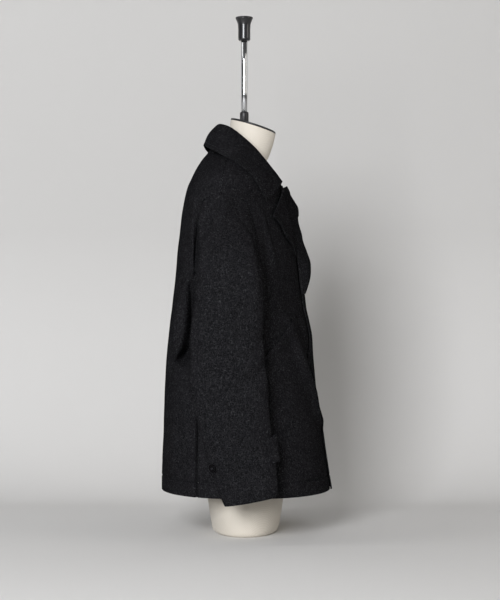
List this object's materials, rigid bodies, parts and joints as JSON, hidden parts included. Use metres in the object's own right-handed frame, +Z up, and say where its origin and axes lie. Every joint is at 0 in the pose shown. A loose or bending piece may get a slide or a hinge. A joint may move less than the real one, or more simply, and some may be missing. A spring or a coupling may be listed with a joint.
{
  "type": "coat on dress form",
  "caption": "Short dark wool coat with notched lapels, slant pockets and cuff tabs, closed and hanging on a limbless cream dress form with a hanging rod.",
  "frame": {"origin": "centre of the dress form's flat underside", "axes": "+Z up along the hanging rod, -Y out of the front of the coat, -X to the wearer's right"},
  "size_m": [0.57, 0.3474, 1.0483],
  "materials": {
    "wool": "matte brushed",
    "button": "satin",
    "linen": "matte woven",
    "black_cap": "satin",
    "chrome_rod": "polished",
    "black_knob": "satin"
  },
  "bodies": {
    "root": {"back": "wool", "front_right": "wool", "front_left": "wool", "sleeve_right": "wool", "sleeve_left": "wool", "lapel_right": "wool", "lapel_left": "wool", "collar": "wool", "pocket_welt_right": "wool", "pocket_welt_left": "wool", "cuff_tab_right": "wool", "cuff_tab_left": "wool", "cuff_button_right": "button", "cuff_button_left": "button", "form_torso": "linen", "form_neck_cap": "black_cap", "form_rod_socket": "black_cap", "form_rod": "chrome_rod", "form_knob": "black_knob"}
  },
  "joints": []
}
